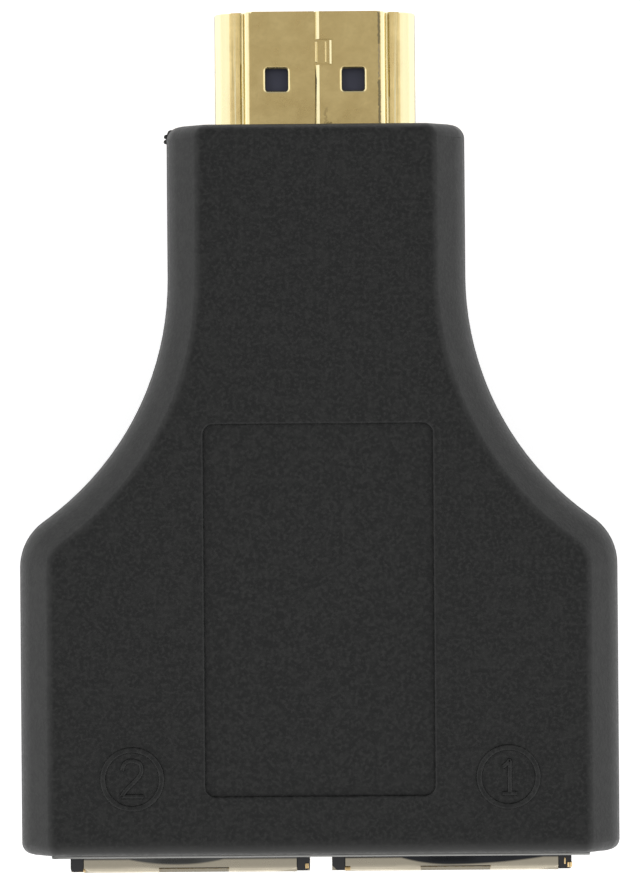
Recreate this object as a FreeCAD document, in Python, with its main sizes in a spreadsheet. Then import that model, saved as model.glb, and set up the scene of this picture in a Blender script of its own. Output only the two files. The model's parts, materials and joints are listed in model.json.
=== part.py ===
"""Plug-to-two-port adapter, full size in millimetres.

A moulded housing in two half covers carries a circuit board, a 13.9 mm wide video plug at
one end and two shielded eight-contact modular jacks side by side at the other.
X runs across the housing, Y along it towards the plug, Z up through its thickness.
The origin is under the middle of the part, on the surface that it lies on.
"""
import FreeCAD, Part

import math
import os
from types import SimpleNamespace

import Sketcher

os.makedirs("parts", exist_ok=True)
doc = FreeCAD.newDocument("PlugAdapter")

# Driving dimensions, in millimetres and degrees
DIMENSIONS = {
    # housing outline, seen from above
    "jack_to_plug_end": 29.22,
    "neck_width": 20.2,
    "neck_length": 10.3,
    "jack_side_room": 1.51,
    "flare_radius": 20.0,
    "slant_length": 0.5,
    "shoulder_radius": 3.8,
    # housing section
    "wall": 1.8,
    "bevel": 2.1,
    "fold_cut": 0.58,
    "face_rounding": 0.8,
    "neck_corner": 1.0,
    "wide_corner": 0.8,
    "seam_chamfer": 0.12,
    # joint between the covers
    "tongue_inset": 1.0,
    "tongue_height": 0.8,
    "tongue_gap": 0.05,
    "pin_gap": 0.08,
    "rib_thickness": 1.0,
    "rib_root": 0.4,
    "neck_rib_setback": 15.0,
    # marks on the front cover
    "recess_width": 15.4,
    "recess_length": 25.0,
    "recess_depth": 0.3,
    "recess_corner": 0.65,
    "recess_start": 4.01,
    "mark_spacing": 25.3,
    "mark_setback": 5.21,
    "mark_radius": 2.18,
    "mark_line": 0.4,
    "mark_height": 0.15,
    # raised rim round the jacks
    "rim_proud": 0.2,
    "rim_side": 1.2,
    "rim_band": 0.9,
    # plug
    "plug_width": 13.9,
    "plug_height": 4.45,
    "plug_exposed": 8.15,
    "plug_buried": 5.0,
    "plug_sheet": 0.3,
    "plug_step": 0.875,
    "plug_step_width": 9.7,
    "plug_top_radius": 0.43,
    "plug_valley_radius": 0.3,
    "plug_shoulder_radius": 1.5,
    "plug_bottom_radius": 0.5,
    "plug_fit": 0.05,
    "plug_hole_gap": 0.1,
    "plug_window": 1.5,
    "plug_window_setback": 4.7,
    "plug_window_spacing": 5.27,
    "seam_slit": 0.08,
    "cut_margin": 0.06,
    "lock_tab_width": 1.2,
    "lock_tab_length": 1.7,
    "lock_tab_setback": 1.95,
    "nose_recess": 0.4,
    "nose_cavity_width": 11.2,
    "nose_cavity_height": 1.7,
    "nose_cavity_depth": 9.6,
    "plug_contact_spacing": 1.0,
    "plug_contact_width": 0.36,
    "plug_contact_thickness": 0.2,
    "contact_bump": 0.18,
    "contact_setback": 0.6,
    "contact_bump_run": 0.54,
    "contact_bump_length": 1.4,
    "joggle_run": 0.5,
    "groove_gap": 0.05,
    "solder_tail": 2.4,
    "rear_block_overlap": 1.2,
    "rear_block_length": 3.3,
    "shell_tab_length": 4.0,
    # circuit board
    "board_thickness": 1.6,
    "board_side_room": 1.96,
    "board_wide_length": 6.8,
    "board_taper_length": 10.5,
    "board_gap": 0.15,
    # jacks
    "jack_width": 16.2,
    "jack_height": 13.4,
    "jack_length": 21.3,
    "jack_proud": 1.27,
    "jack_spacing": 1.5,
    "jack_gap": 0.2,
    "jack_sheet": 0.25,
    "jack_fit": 0.05,
    "jack_fold": 0.5,
    "jack_sink": 14.0,
    "mouth_width": 11.9,
    "mouth_height": 6.8,
    "mouth_depth": 13.0,
    "mouth_rise": 3.2,
    "mouth_margin": 0.15,
    "latch_width": 6.3,
    "latch_neck": 4.2,
    "latch_drop": 2.2,
    "latch_step": 0.9,
    "latch_wall": 2.0,
    "corner_relief": 0.9,
    "corner_relief_depth": 1.6,
    "shield_tab_setback": 2.7,
    "shield_tab_width": 1.26,
    "ground_finger_width": 4.7,
    "ground_notch": 0.35,
    "ground_finger_offset": 0.25,
    "insert_width": 10.8,
    "insert_height": 1.7,
    "insert_web": 0.85,
    "wire_width": 0.4,
    "wire_thickness": 0.3,
    "wire_spacing": 1.016,
    "wire_setback": 5.15,
    "wire_reach": 7.2,
    "wire_tilt": 30.0,
    "wire_root_radius": 0.35,
    "wire_gap": 0.05,
    "tail_setback": 16.2,
    "tail_stagger": 2.54,
    "tail_below": 0.9,
    "tail_hole": 0.9,
    "tail_clearance": 0.9,
    # pins of the covers, behind the jacks
    "pin_x": 10.0,
    "pin_setback": 2.85,
    "pin_radius": 1.2,
    "boss_wall": 0.8,
    "pin_reach": 2.6,
    # small parts on the board
    "chip_length": 1.6,
    "chip_width": 0.8,
    "chip_height": 0.5,
    "chip_spacing": 1.9,
    "chip_setback": 5.45,
}
CONTACTS_PER_JACK = 8
UPPER_PLUG_CONTACTS = 9
LOWER_PLUG_CONTACTS = 10
CHIPS_PER_ROW = 6

sheet = doc.addObject("Spreadsheet::Sheet", "Sizes")
for row, (alias, number) in enumerate(DIMENSIONS.items(), start=1):
    sheet.set(f"A{row}", alias)
    sheet.set(f"B{row}", str(number))
    sheet.setAlias(f"B{row}", alias)
doc.recompute()


class Size:
    """A length or angle that carries both its number and the sheet formula that gives it."""

    def __init__(self, number, formula):
        self.number = number
        self.formula = formula

    def __add__(self, other):
        other = as_size(other)
        return Size(self.number + other.number, f"({self.formula} + {other.formula})")

    def __sub__(self, other):
        other = as_size(other)
        return Size(self.number - other.number, f"({self.formula} - {other.formula})")

    def __mul__(self, other):
        other = as_size(other)
        return Size(self.number * other.number, f"({self.formula} * {other.formula})")

    def __truediv__(self, other):
        other = as_size(other)
        return Size(self.number / other.number, f"({self.formula} / {other.formula})")

    def __neg__(self):
        return Size(-self.number, f"(-1 * {self.formula})")

    def __rmul__(self, other):
        return as_size(other) * self

    def __radd__(self, other):
        return as_size(other) + self

    def __rsub__(self, other):
        return as_size(other) - self


def as_size(value):
    return value if isinstance(value, Size) else Size(float(value), repr(float(value)))


def sine(angle):
    return Size(math.sin(math.radians(angle.number)), f"sin({angle.formula} * 1 deg)")


def cosine(angle):
    return Size(math.cos(math.radians(angle.number)), f"cos({angle.formula} * 1 deg)")


def root(square):
    return Size(math.sqrt(square.number), f"sqrt({square.formula})")


d = SimpleNamespace(**{alias: Size(sheet.get(alias), f"Sizes.{alias}") for alias in DIMENSIONS})
ZERO = as_size(0)

# Sizes that follow from the jacks: two stand side by side and the housing closes round them
jack_pitch = d.jack_width + d.jack_spacing
wide_width = jack_pitch + d.jack_width + 2 * (d.jack_side_room + d.wall)
board_width = wide_width - 2 * (d.wall + d.board_side_room)
rim_width = jack_pitch + d.jack_width + 2 * d.rim_side

# Places along the part, from the jack fronts to the plug tip
length = d.jack_length + d.jack_to_plug_end + d.plug_exposed
jack_front = -(length / 2)
jack_end = jack_front + d.jack_proud
jack_back = jack_front + d.jack_length
plug_end = jack_back + d.jack_to_plug_end
plug_tip = plug_end + d.plug_exposed
plug_back = plug_end - d.plug_buried
flare_start = plug_end - d.neck_length
board_front = jack_front + d.jack_sink + d.board_gap
pin_y = jack_back + d.pin_setback
neck_rib_y = plug_end - d.neck_rib_setback

# Heights
thickness = d.jack_height + 2 * (d.wall + d.jack_gap)
middle = thickness / 2
board_top = middle + d.board_thickness / 2
board_bottom = middle - d.board_thickness / 2
jack_bottom = d.wall + d.jack_gap
jack_top = jack_bottom + d.jack_height
mouth_floor = jack_bottom + d.mouth_rise
mouth_roof = mouth_floor + d.mouth_height
insert_bottom = mouth_roof + d.insert_web

# Tools for sketches


def line(x, y):
    return ("line", as_size(x), as_size(y), None)


def arc(x, y, centre_x, centre_y, radius, anticlockwise):
    bend = (as_size(centre_x), as_size(centre_y), as_size(radius), anticlockwise)
    return ("arc", as_size(x), as_size(y), bend)


def rectangle(x0, y0, x1, y1):
    return [line(x0, y0), line(x1, y0), line(x1, y1), line(x0, y1)]


def rounded_rectangle(x0, y0, x1, y1, radius):
    left, low, right, high = x0 + radius, y0 + radius, x1 - radius, y1 - radius
    return [
        line(left, y0),
        line(right, y0),
        arc(x1, low, right, low, radius, True),
        line(x1, high),
        arc(right, y1, right, high, radius, True),
        line(left, y1),
        arc(x0, high, left, high, radius, True),
        line(x0, low),
        arc(left, y0, left, low, radius, True),
    ]


def octagon(x, y, radius):
    """Eight-sided stand-in for a small round, with its corners on the circle."""
    far = radius * math.cos(math.pi / 8)
    close = radius * math.sin(math.pi / 8)
    corners = [(far, close), (close, far), (-close, far), (-far, close),
               (-far, -close), (-close, -far), (close, -far), (far, -close)]
    return [line(x + across, y + along) for across, along in corners]


def circle(x, y, radius):
    return ("circle", as_size(x), as_size(y), as_size(radius))


def both_sides(half):
    """Close a half outline, drawn upwards on the +X side, with its mirror image."""
    whole = list(half)
    for place in range(len(half) - 1, -1, -1):
        kind, _, _, bend = half[place + 1] if place + 1 < len(half) else ("line", ZERO, ZERO, None)
        x, y = -half[place][1], half[place][2]
        if kind == "arc":
            centre_x, centre_y, radius, turn = bend
            whole.append(arc(x, y, -centre_x, centre_y, radius, turn))
        else:
            whole.append(line(x, y))
    return whole


def plane_of(body, role):
    return next(feature for feature in body.Origin.OriginFeatures if feature.Role == role)


def constrain(sketch, kind, *place, size=None):
    if size is None:
        return sketch.addConstraint(Sketcher.Constraint(kind, *place))
    index = sketch.addConstraint(Sketcher.Constraint(kind, *place, size.number))
    sketch.setExpression(f"Constraints[{index}]", size.formula)
    return index


def draw_circle(sketch, shape):
    _, x, y, radius = shape
    centre = FreeCAD.Vector(x.number, y.number, 0)
    index = sketch.addGeometry(Part.Circle(centre, FreeCAD.Vector(0, 0, 1), radius.number))
    constrain(sketch, "DistanceX", index, 3, size=x)
    constrain(sketch, "DistanceY", index, 3, size=y)
    constrain(sketch, "Radius", index, size=radius)


def draw_outline(sketch, outline):
    """Draw a closed outline; each corner is held at its place and each arc at its radius."""
    drawn = []
    if outline[0][0] == "line" and outline[-1][1:3] != outline[0][1:3]:
        outline = list(outline) + [line(outline[0][1], outline[0][2])]
    for (_, x0, y0, _), (kind, x1, y1, bend) in zip(outline, outline[1:]):
        start = FreeCAD.Vector(x0.number, y0.number, 0)
        finish = FreeCAD.Vector(x1.number, y1.number, 0)
        if (finish - start).Length < 1e-7:
            continue
        if kind == "line":
            index = sketch.addGeometry(Part.LineSegment(start, finish))
            drawn.append((index, 1, 2, x0, y0))
            continue
        centre_x, centre_y, radius, anticlockwise = bend
        centre = FreeCAD.Vector(centre_x.number, centre_y.number, 0)
        first, last = (start, finish) if anticlockwise else (finish, start)
        angles = [math.atan2(point.y - centre.y, point.x - centre.x) for point in (first, last)]
        if angles[1] < angles[0]:
            angles[1] += 2 * math.pi
        ring = Part.Circle(centre, FreeCAD.Vector(0, 0, 1), radius.number)
        index = sketch.addGeometry(Part.ArcOfCircle(ring, *angles))
        ends = (1, 2) if anticlockwise else (2, 1)
        drawn.append((index, *ends, x0, y0))
        constrain(sketch, "Radius", index, size=radius)
    for place, (index, first, _, x, y) in enumerate(drawn):
        before, _, last, _, _ = drawn[place - 1]
        constrain(sketch, "Coincident", before, last, index, first)
        constrain(sketch, "DistanceX", index, first, size=x)
        constrain(sketch, "DistanceY", index, first, size=y)


def sketch_on(body, name, role, shapes, offset):
    sketch = body.newObject("Sketcher::SketchObject", name)
    sketch.AttachmentSupport = [(plane_of(body, role), "")]
    sketch.MapMode = "FlatFace"
    sketch.setExpression("AttachmentOffset.Base.z", offset.formula)
    for shape in shapes:
        if shape[0] == "circle":
            draw_circle(sketch, shape)
        else:
            draw_outline(sketch, shape)
    return sketch


# Tools for solids


def new_body(name):
    body = doc.addObject("PartDesign::Body", name)
    body.Label = name
    body.AllowCompound = True
    return body


def prism(body, name, role, shapes, start, end, cut=False):
    """Add or cut the shapes between two places along the plane's axis, start below end."""
    faces_back = role == "XZ_Plane"
    near, far = (-end, -start) if faces_back else (start, end)
    sketch = sketch_on(body, f"{name}_sketch", role, shapes, as_size(far if cut else near))
    kind = "PartDesign::Pocket" if cut else "PartDesign::Pad"
    feature = body.newObject(kind, name)
    feature.Profile = sketch
    feature.setExpression("Length", (end - start).formula)
    return feature


def repeat(body, feature, pitch, count, role="X_Axis"):
    pattern = body.newObject("PartDesign::LinearPattern", f"{feature.Name}_row")
    pattern.Originals = [feature]
    pattern.Direction = (plane_of(body, role), [""])
    pattern.Occurrences = count
    pattern.setExpression("Length", (pitch * (count - 1)).formula)
    body.Tip = pattern
    return pattern


def edges_where(feature, test):
    """Names of the edges whose two ends both pass the test."""
    doc.recompute()
    names = []
    for index, edge in enumerate(feature.Shape.Edges, start=1):
        points = [vertex.Point for vertex in edge.Vertexes]
        if len(points) == 2 and test(*points):
            names.append(f"Edge{index}")
    return names


def soften(body, kind, name, base, edges, size):
    feature = body.newObject(f"PartDesign::{kind}", name)
    feature.Base = (base, edges)
    feature.setExpression("Radius" if kind == "Fillet" else "Size", size.formula)
    return feature


def near(value, size, slack=1e-4):
    return abs(value - size.number) < slack


# Outlines


def housing_outline(inset):
    """Outline of the housing from above, drawn in by the inset: neck, flare, shoulder, wide end.

    A straight slant of a fixed length joins the hollow flare to the round shoulder, and its
    direction follows from how far the wide end stands out beyond the neck.
    """
    neck = d.neck_width / 2 - inset
    wide = wide_width / 2 - inset
    flare = d.flare_radius + inset
    shoulder = d.shoulder_radius - inset
    flare_x = d.neck_width / 2 + d.flare_radius
    shoulder_x = wide_width / 2 - d.shoulder_radius
    radii = d.flare_radius + d.shoulder_radius
    overhang = flare_x - shoulder_x
    span = radii * radii + d.slant_length * d.slant_length
    rise = root(span - overhang * overhang)
    across = (overhang * radii + d.slant_length * rise) / span
    along = (radii * rise - overhang * d.slant_length) / span
    slant = flare_x * across + flare_start * along - d.flare_radius - d.shoulder_radius
    shoulder_y = (slant - shoulder_x * across) / along
    slant_x = shoulder_x + shoulder * across
    slant_y = shoulder_y + shoulder * along
    return both_sides([
        line(wide, jack_end + inset),
        line(wide, shoulder_y),
        arc(slant_x, slant_y, shoulder_x, shoulder_y, shoulder, True),
        line(flare_x - flare * across, flare_start - flare * along),
        arc(neck, flare_start, flare_x, flare_start, flare, False),
        line(neck, plug_end - inset),
    ])


def plug_outline(inset, plain=False):
    """Section of the plug: a wide lower part, a rounded shoulder and a narrower upper face.

    The plain one, for pieces inside the shell, has straight cuts in place of the round corners.
    """
    side = d.plug_width / 2
    step = d.plug_step_width / 2
    low = middle - d.plug_height / 2
    high = middle + d.plug_height / 2
    shoulder_y = high - d.plug_step - d.plug_shoulder_radius
    shoulder_x = side - d.plug_shoulder_radius
    shoulder = d.plug_shoulder_radius - inset
    valley_x = step + d.plug_valley_radius
    valley_y = high - d.plug_step + d.plug_valley_radius
    valley = d.plug_valley_radius + inset
    bottom = d.plug_bottom_radius - inset
    bottom_x = side - d.plug_bottom_radius
    bottom_y = low + d.plug_bottom_radius
    top = d.plug_top_radius - inset
    top_x = step - d.plug_top_radius
    top_y = high - d.plug_top_radius
    if plain:
        return both_sides([
            line(bottom_x, low + inset),
            line(side - inset, bottom_y),
            line(side - inset, shoulder_y),
            line(shoulder_x, shoulder_y + shoulder),
            line(step - inset, shoulder_y + shoulder),
            line(step - inset, top_y),
            line(top_x, high - inset),
        ])
    return both_sides([
        line(bottom_x, low + inset),
        arc(side - inset, bottom_y, bottom_x, bottom_y, bottom, True),
        line(side - inset, shoulder_y),
        arc(shoulder_x, shoulder_y + shoulder, shoulder_x, shoulder_y, shoulder, True),
        line(valley_x, valley_y - valley),
        arc(step - inset, valley_y, valley_x, valley_y, valley, False),
        line(step - inset, top_y),
        arc(top_x, high - inset, top_x, top_y, top, True),
    ])


# Housing


def shape_outside(body, name, up):
    """The solid outside of one half: bevelled sides, rounded corners and a chamfered seam."""
    face = thickness if up > 0 else ZERO
    bevel_level = face - d.bevel * up
    span = (middle, thickness) if up > 0 else (ZERO, middle)
    block = prism(body, f"{name}_block", "XY_Plane", [housing_outline(ZERO)], *span)

    def on_level(level):
        return lambda a, b: near(a.z, level) and near(b.z, level)

    def on_end(end):
        return lambda a, b: near(a.y, end) and near(b.y, end)

    def side_of_face(a, b):
        at_an_end = on_end(jack_end)(a, b) or on_end(plug_end)(a, b)
        return on_level(face)(a, b) and not at_an_end

    def corner_of(end):
        return lambda a, b: on_end(end)(a, b) and not near(a.z, as_size(b.z))

    bevel = soften(body, "Chamfer", f"{name}_bevel", block, edges_where(block, side_of_face), d.bevel)
    fold = edges_where(bevel, on_level(bevel_level))
    soft_fold = soften(body, "Chamfer", f"{name}_fold", bevel, fold, d.fold_cut)
    neck = edges_where(soft_fold, corner_of(plug_end))
    neck_corners = soften(body, "Fillet", f"{name}_neck_corners", soft_fold, neck, d.neck_corner)
    wide = edges_where(neck_corners, corner_of(jack_end))
    wide_corners = soften(body, "Fillet", f"{name}_wide_corners", neck_corners, wide, d.wide_corner)
    rim = edges_where(wide_corners, on_level(face))
    face_edge = soften(body, "Fillet", f"{name}_face_edge", wide_corners, rim, d.face_rounding)
    seam = edges_where(face_edge, on_level(middle))
    soften(body, "Chamfer", f"{name}_seam", face_edge, seam, d.seam_chamfer)


def across_neck(y, thick):
    """A rib's plan across the neck, rooted in both side walls."""
    reach = d.neck_width / 2 - d.wall + d.rib_root
    return rectangle(-reach, y, reach, y + thick)


def pin_circles(extra):
    """The two pins that pass through the board behind the jacks."""
    return [circle(side * d.pin_x, pin_y, d.pin_radius + extra) for side in (1, -1)]


def cut_openings(body, name):
    """Windows for the two jacks and the hole that the plug passes through."""
    half = d.jack_width / 2 + d.jack_gap / 2
    low = jack_bottom - d.jack_gap / 2
    high = jack_top + d.jack_gap / 2
    centres = (jack_pitch / 2, -jack_pitch / 2)
    windows = [rectangle(x - half, low, x + half, high) for x in centres]
    prism(body, f"{name}_jack_windows", "XZ_Plane", windows, jack_front, jack_end + 2 * d.wall, cut=True)
    hole = [plug_outline(-d.plug_hole_gap)]
    prism(body, f"{name}_plug_hole", "XZ_Plane", hole, plug_back - d.rib_thickness, plug_tip, cut=True)


rim_face = jack_end - d.rim_proud
rim_root = jack_end + d.wall / 2


def rim_shape(low, high):
    return [rectangle(-rim_width / 2, low, rim_width / 2, high)]


def front_cover():
    body = new_body("front_cover")
    shape_outside(body, "front", 1)
    roof = thickness - d.wall
    prism(body, "front_cavity", "XY_Plane", [housing_outline(d.wall)], middle, roof, cut=True)
    prism(body, "front_rim", "XZ_Plane", rim_shape(middle, jack_top + d.rim_band), rim_face, rim_root)
    stop = jack_pitch / 2 + d.jack_width / 2
    stop_start = jack_back + d.jack_gap / 2
    board_face = board_top + d.tongue_gap
    back_stop = [rectangle(-stop, stop_start, stop, stop_start + d.rib_thickness)]
    prism(body, "front_back_stop", "XY_Plane", back_stop, board_face, roof + d.rib_root)
    neck_rib = [across_neck(neck_rib_y, d.rib_thickness)]
    prism(body, "front_neck_rib", "XY_Plane", neck_rib, board_face, roof + d.rib_root)
    bosses = pin_circles(d.pin_gap + d.boss_wall)
    prism(body, "front_bosses", "XY_Plane", bosses, board_face, roof + d.rib_root)
    saddle = [across_neck(plug_back + d.rib_thickness, d.rib_thickness)]
    prism(body, "front_saddle", "XY_Plane", saddle, middle, roof + d.rib_root)
    socket_end = middle + d.pin_reach + d.pin_gap
    prism(body, "front_sockets", "XY_Plane", pin_circles(d.pin_gap), board_face, socket_end, cut=True)
    groove = [housing_outline(d.tongue_inset - d.tongue_gap), housing_outline(d.wall + d.tongue_gap)]
    groove_end = middle + d.tongue_height + d.tongue_gap
    prism(body, "front_groove", "XY_Plane", groove, middle, groove_end, cut=True)
    cut_openings(body, "front")

    recess_low = jack_end + d.recess_start
    recess = rounded_rectangle(
        -d.recess_width / 2, recess_low, d.recess_width / 2, recess_low + d.recess_length, d.recess_corner)
    prism(body, "front_recess", "XY_Plane", [recess], thickness - d.recess_depth, thickness, cut=True)
    rings = []
    for side in (1, -1):
        centre = (side * d.mark_spacing / 2, jack_end + d.mark_setback)
        rings.append(circle(*centre, d.mark_radius))
        rings.append(circle(*centre, d.mark_radius - d.mark_line))
    prism(body, "front_rings", "XY_Plane", rings, thickness - d.mark_height, thickness + d.mark_height)
    return body


def rear_cover():
    body = new_body("rear_cover")
    shape_outside(body, "rear", -1)
    prism(body, "rear_cavity", "XY_Plane", [housing_outline(d.wall)], d.wall, middle, cut=True)
    prism(body, "rear_rim", "XZ_Plane", rim_shape(jack_bottom - d.rim_band, middle), rim_face, rim_root)
    root = d.wall - d.rib_root
    ledge_reach = jack_pitch / 2 + d.jack_width / 2
    ledge_start = board_front + d.jack_gap / 2
    ledge = [rectangle(-ledge_reach, ledge_start, ledge_reach, ledge_start + d.rib_thickness)]
    prism(body, "rear_ledge", "XY_Plane", ledge, root, board_bottom)
    neck_rib = [across_neck(neck_rib_y, d.rib_thickness)]
    prism(body, "rear_neck_rib", "XY_Plane", neck_rib, root, board_bottom)
    prism(body, "rear_bosses", "XY_Plane", pin_circles(d.boss_wall), root, board_bottom)
    prism(body, "rear_pins", "XY_Plane", pin_circles(ZERO), root, middle + d.pin_reach)
    saddle = [across_neck(plug_back + d.rib_thickness, d.rib_thickness)]
    prism(body, "rear_saddle", "XY_Plane", saddle, root, middle)
    tongue = [housing_outline(d.tongue_inset), housing_outline(d.wall)]
    prism(body, "rear_tongue", "XY_Plane", tongue, middle - d.rib_root, middle + d.tongue_height)
    cut_openings(body, "rear")
    return body


# Plug

nose_front = plug_tip - d.nose_recess
nose_back = plug_back + d.rear_block_overlap
block_back = nose_back - d.rear_block_length
plug_face = middle + d.plug_height / 2
window_y = plug_tip - d.plug_window_setback


def window_squares(extra):
    """The two square windows of a plug face, or the hollows a little larger that lie under them."""
    reach = d.plug_window / 2 + extra
    low, high = window_y - reach, window_y + reach
    places = [side * d.plug_window_spacing / 2 for side in (1, -1)]
    return [rectangle(x - reach, low, x + reach, high) for x in places]


def seam_slit():
    """The slit where the folded sheet meets itself, led round a square lock tab."""
    half = d.seam_slit / 2
    tab_top = plug_tip - d.lock_tab_setback
    tab_low = tab_top - d.lock_tab_length
    tab = d.lock_tab_width
    right = [(half, plug_tip), (half, tab_top + half), (tab + half, tab_top + half),
             (tab + half, tab_low - half), (half, tab_low - half), (half, plug_back)]
    left = [(-half, plug_tip), (-half, tab_top - half), (tab - half, tab_top - half),
            (tab - half, tab_low + half), (-half, tab_low + half), (-half, plug_back)]
    return [line(*point) for point in right + left[::-1]]


def plug_shell():
    body = new_body("plug_shell")
    tube = [plug_outline(ZERO), plug_outline(d.plug_sheet)]
    prism(body, "shell_tube", "XZ_Plane", tube, plug_back, plug_tip)
    side = d.plug_width / 2
    tab_start = plug_back - d.shell_tab_length
    tabs = [rectangle(sign * side, tab_start, sign * (side - d.plug_sheet), plug_back + d.rib_root)
            for sign in (1, -1)]
    shoulder_y = plug_face - d.plug_step - d.plug_shoulder_radius
    prism(body, "shell_tabs", "XY_Plane", tabs, board_bottom, shoulder_y)
    depth = d.plug_sheet + d.cut_margin
    windows = window_squares(ZERO)
    prism(body, "shell_upper_windows", "XY_Plane", windows, plug_face - depth, plug_face, cut=True)
    low_face = middle - d.plug_height / 2
    prism(body, "shell_lower_windows", "XY_Plane", windows, low_face, low_face + depth, cut=True)
    prism(body, "shell_seam", "XY_Plane", [seam_slit()], plug_face - depth, plug_face, cut=True)
    return body


def contact_groove(up, inner, outer, first):
    """Section of one groove, clear of its contact on both sides."""
    half = d.plug_contact_width / 2 + d.groove_gap
    return rectangle(first - half, middle + up * inner, first + half, middle + up * outer)


def contact_rows():
    """The two rows of plug contacts: which way each faces, how many, and its first place."""
    for up, name, count in ((1, "upper", UPPER_PLUG_CONTACTS), (-1, "lower", LOWER_PLUG_CONTACTS)):
        yield up, name, count, -d.plug_contact_spacing * (count - 1) / 2


def plug_nose():
    body = new_body("plug_nose")
    section = [plug_outline(d.plug_sheet + d.plug_fit, plain=True)]
    prism(body, "nose_block", "XZ_Plane", section, nose_back, nose_front)
    half_high = d.nose_cavity_height / 2
    half_wide = d.nose_cavity_width / 2
    mouth = [rectangle(-half_wide, middle - half_high, half_wide, middle + half_high)]
    prism(body, "nose_cavity", "XZ_Plane", mouth, nose_front - d.nose_cavity_depth, nose_front, cut=True)
    outer = half_high + d.plug_contact_thickness + d.groove_gap
    for up, name, count, first in contact_rows():
        groove = [contact_groove(up, half_high - d.groove_gap, outer, first)]
        end = nose_front - d.contact_setback + d.groove_gap
        cut = prism(body, f"nose_{name}_groove", "XZ_Plane", groove, nose_back, end, cut=True)
        repeat(body, cut, d.plug_contact_spacing, count)
    relief = d.plug_sheet + d.plug_fit + d.nose_recess
    low_face = middle - d.plug_height / 2
    squares = window_squares(d.plug_fit)
    prism(body, "nose_upper_relief", "XY_Plane", squares, plug_face - relief, plug_face, cut=True)
    prism(body, "nose_lower_relief", "XY_Plane", squares, low_face, low_face + relief, cut=True)
    return body


def plug_rear_block():
    body = new_body("plug_rear_block")
    section = [plug_outline(d.plug_sheet + d.plug_fit, plain=True)]
    prism(body, "rear_block", "XZ_Plane", section, block_back, nose_back)
    inner = d.board_thickness / 2 - d.groove_gap
    outer = d.nose_cavity_height / 2 + d.plug_contact_thickness + d.groove_gap
    for up, name, count, first in contact_rows():
        groove = [contact_groove(up, inner, outer, first)]
        cut = prism(body, f"block_{name}_groove", "XZ_Plane", groove, block_back, nose_back, cut=True)
        repeat(body, cut, d.plug_contact_spacing, count)
    return body


def plug_contacts(up, name, count, first):
    """A row of stamped strips: a bump at the mouth, a joggle, and a tail on the board."""
    body = new_body(f"plug_{name}_contacts")
    front = nose_front - d.contact_setback
    thick = d.plug_contact_thickness
    inner = d.nose_cavity_height / 2
    tail = d.board_thickness / 2
    joggle_end = block_back
    joggle_start = block_back + d.joggle_run
    tail_end = block_back - d.solder_tail
    bump_start = front - d.contact_bump_run
    bump_end = bump_start - d.contact_bump_length
    profile = [
        (front, inner + thick), (front, inner), (bump_start, inner - d.contact_bump),
        (bump_end, inner - d.contact_bump), (bump_end - d.contact_bump_run, inner), (joggle_start, inner),
        (joggle_end, tail), (tail_end, tail), (tail_end, tail + thick), (joggle_end, tail + thick),
        (joggle_start, inner + thick),
    ]
    outline = [line(y, middle + up * height) for y, height in profile]
    half = d.plug_contact_width / 2
    strip = prism(body, f"plug_{name}_strip", "YZ_Plane", [outline], first - half, first + half)
    repeat(body, strip, d.plug_contact_spacing, count)
    return body


# Jacks, each drawn about its own middle and then set beside the other

jack_step = jack_front + d.jack_sink
wire_bottom = insert_bottom + d.jack_fit
wire_top = wire_bottom + d.wire_thickness
axis_y = jack_front + d.wire_setback
axis_z = insert_bottom - d.wire_gap
first_wire = -d.wire_spacing * (CONTACTS_PER_JACK - 1) / 2
tail_rows = (jack_front + d.tail_setback, jack_front + d.tail_setback + d.tail_stagger)
tab_y = jack_step + d.shield_tab_setback
tab_half = d.shield_tab_width / 2


def jack_section(inset):
    """Section of a jack with the rounded folds of its sheet."""
    half = d.jack_width / 2 - inset
    return rounded_rectangle(-half, jack_bottom + inset, half, jack_top - inset, d.jack_fold - inset)


def core_section():
    """Section of what fills the shield: cut corners lie inside the rounded folds."""
    inset = d.jack_sheet + d.jack_fit
    half = d.jack_width / 2 - inset
    cut = d.jack_fold - inset
    low, high = jack_bottom + inset, jack_top - inset
    return both_sides([
        line(half - cut, low), line(half, low + cut), line(half, high - cut), line(half - cut, high)])


def mouth_shape(margin):
    """The opening seen from the front: the plug's mouth over a stepped latch channel."""
    mouth = d.mouth_width / 2 + margin
    wide = d.latch_width / 2 + margin
    neck = d.latch_neck / 2 + margin
    return both_sides([
        line(neck, mouth_floor - d.latch_drop - margin),
        line(neck, mouth_floor - d.latch_step - margin),
        line(wide, mouth_floor - d.latch_step - margin),
        line(wide, mouth_floor - margin),
        line(mouth, mouth_floor - margin),
        line(mouth, mouth_roof + margin),
    ])


def cut_board_step(body, name):
    """Cut away the lower rear, where the jack sits on the board instead of hanging past it."""
    reach = d.jack_width / 2
    step = [rectangle(-reach, jack_step, reach, jack_back)]
    prism(body, f"{name}_step", "XY_Plane", step, jack_bottom, board_top, cut=True)


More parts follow.
